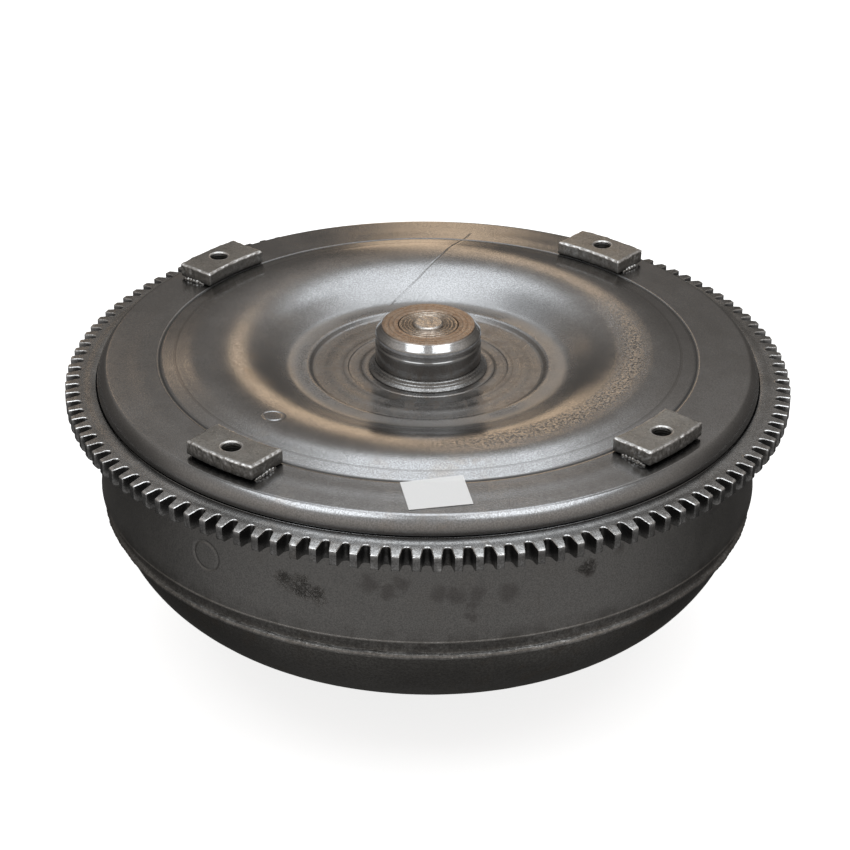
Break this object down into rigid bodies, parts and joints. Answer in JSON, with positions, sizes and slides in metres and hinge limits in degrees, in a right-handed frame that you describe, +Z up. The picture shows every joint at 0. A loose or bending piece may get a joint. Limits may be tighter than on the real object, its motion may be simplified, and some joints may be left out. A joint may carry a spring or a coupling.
{
  "type": "torque converter",
  "caption": "Lock-up torque converter with ring gear, crankshaft pilot, drive pads, turbine, stator, damper and pump hub.",
  "frame": {"origin": "centre of the pump hub's open end, the lowest point of the part", "axes": "+Z up the axis of rotation to the crankshaft pilot; +Y and +X in the plane of the drive pads"},
  "size_m": [0.315, 0.315, 0.1538],
  "materials": {
    "cover_steel": "oily pressed steel with a brown rust film",
    "pilot_steel": "turned bright steel",
    "plug_steel": "turned steel with light rust",
    "pad_steel": "sawn bar steel, worn bright at the edges",
    "weld_metal": "rippled weld bead",
    "gear_steel": "hardened steel, worn bright on the tooth tops",
    "shell_steel": "dark oily pressed steel",
    "hub_steel": "ground steel",
    "blade_steel": "plain rolled sheet with a thin oil film",
    "plate_steel": "pressed plate",
    "spring_steel": "blued spring wire",
    "race_steel": "ground bearing steel",
    "cage_brass": "pressed brass",
    "stator_aluminium": "fine cast aluminium",
    "lining": "paper friction lining",
    "washer_plastic": "moulded thrust washer",
    "seal_rubber": "matt",
    "label_paper": "blank self-adhesive paper"
  },
  "bodies": {
    "casing": {"front_cover": "cover_steel", "pilot_hub": "pilot_steel", "pilot_plug": "plug_steel", "pilot_weld": "weld_metal", "drive_pad_1": "pad_steel", "drive_pad_2": "pad_steel", "drive_pad_3": "pad_steel", "drive_pad_4": "pad_steel", "drive_pad_welds": "weld_metal", "ring_gear": "gear_steel", "ring_gear_welds": "weld_metal", "impeller_shell": "shell_steel", "closing_weld": "weld_metal", "impeller_hub": "hub_steel", "hub_weld": "weld_metal", "impeller_blades": "blade_steel", "impeller_core_ring": "blade_steel", "balance_weights": "plate_steel", "blank_label": "label_paper", "cover_thrust_washer": "washer_plastic"},
    "turbine": {"turbine_shell": "blade_steel", "turbine_blades": "blade_steel", "turbine_core_ring": "blade_steel", "turbine_hub": "hub_steel", "turbine_rivets": "hub_steel", "damper_drive_ring": "plate_steel", "piston_seal": "seal_rubber"},
    "damper": {"spring_carrier": "plate_steel", "damper_springs": "spring_steel"},
    "piston": {"lockup_piston": "plate_steel", "friction_lining": "lining"},
    "stator": {"stator_wheel": "stator_aluminium", "clutch_outer_race": "race_steel", "clutch_rollers": "race_steel", "clutch_springs": "cage_brass", "front_side_plate": "plate_steel", "rear_side_plate": "plate_steel", "front_bearing_races": "race_steel", "front_bearing_cage": "cage_brass", "front_bearing_needles": "race_steel", "rear_bearing_races": "race_steel", "rear_bearing_cage": "cage_brass", "rear_bearing_needles": "race_steel"},
    "inner_race": {"clutch_inner_race": "race_steel"}
  },
  "joints": [
    {"name": "turbine_spin", "type": "hinge", "parent": "casing", "child": "turbine", "pos_m": [0, 0, 0.12], "axis": [0, 0, 1], "continuous": true},
    {"name": "damper_twist", "type": "hinge", "parent": "turbine", "child": "damper", "pos_m": [0, 0, 0.12], "axis": [0, 0, 1], "range_deg": [-6, 6], "stiffness_Nm_per_rad": 400, "deforming": ["damper_springs"]},
    {"name": "piston_slide", "type": "slide", "parent": "damper", "child": "piston", "axis": [0, 0, 1], "range_m": [0, 0.001]},
    {"name": "stator_spin", "type": "hinge", "parent": "casing", "child": "stator", "pos_m": [0, 0, 0.0845], "axis": [0, 0, 1], "continuous": true},
    {"name": "inner_race_spin", "type": "hinge", "parent": "stator", "child": "inner_race", "pos_m": [0, 0, 0.0845], "axis": [0, 0, 1], "continuous": true}
  ]
}
